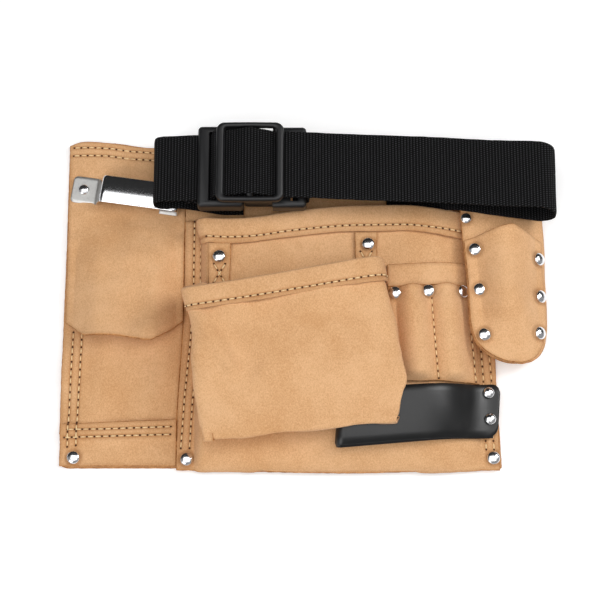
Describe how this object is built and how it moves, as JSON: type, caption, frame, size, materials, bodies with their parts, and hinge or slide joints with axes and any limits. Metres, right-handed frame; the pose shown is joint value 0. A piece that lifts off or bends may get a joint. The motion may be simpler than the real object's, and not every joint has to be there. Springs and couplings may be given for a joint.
{
  "type": "carpenter nail apron",
  "caption": "Suede tool apron with open pockets, a riveted holster, a black leather hammer loop, a metal tape bracket and a webbing belt with a buckle.",
  "frame": {"origin": "on the back panel's flat back face, near the middle of the apron and its belt", "axes": "+X to the right of the apron as it is looked at, +Y to its belt, +Z out of its front"},
  "size_m": [0.3586, 0.2517, 0.0555],
  "materials": {
    "suede": "tan split suede with a short matt nap and cream stitching",
    "black_leather": "smooth black leather with a soft shine",
    "webbing": "black ribbed polypropylene webbing",
    "plastic": "black moulded plastic, satin",
    "nickel": "polished nickel",
    "bracket_steel": "polished steel"
  },
  "bodies": {
    "root": {"back_panel": "suede", "left_pocket": "suede", "left_foot_band": "suede", "left_flap": "suede", "main_pocket": "suede", "main_pocket_binding": "suede", "pocket_tab_left": "suede", "pocket_tab_right": "suede", "front_pocket": "suede", "front_pocket_binding": "suede", "pencil_pocket": "suede", "pencil_band": "suede", "holster_back": "suede", "holster_front": "suede", "belt_sleeve": "suede", "hammer_loop": "black_leather", "belt_webbing": "webbing", "belt_slide": "plastic", "buckle_female": "plastic", "buckle_male": "plastic", "tape_bracket": "bracket_steel", "rivet_foot_left": "nickel", "rivet_foot_middle": "nickel", "rivet_foot_right": "nickel", "rivet_tab_left": "nickel", "rivet_tab_right": "nickel", "rivet_pencil_left": "nickel", "rivet_pencil_middle": "nickel", "rivet_pencil_right": "nickel", "rivet_holster_top": "nickel", "rivet_holster_left_high": "nickel", "rivet_holster_left_middle": "nickel", "rivet_holster_left_low": "nickel", "rivet_holster_right_high": "nickel", "rivet_holster_right_middle": "nickel", "rivet_holster_right_low": "nickel", "rivet_loop_high": "nickel", "rivet_loop_low": "nickel", "rivet_bracket_outer": "nickel", "rivet_bracket_inner": "nickel"}
  },
  "joints": []
}
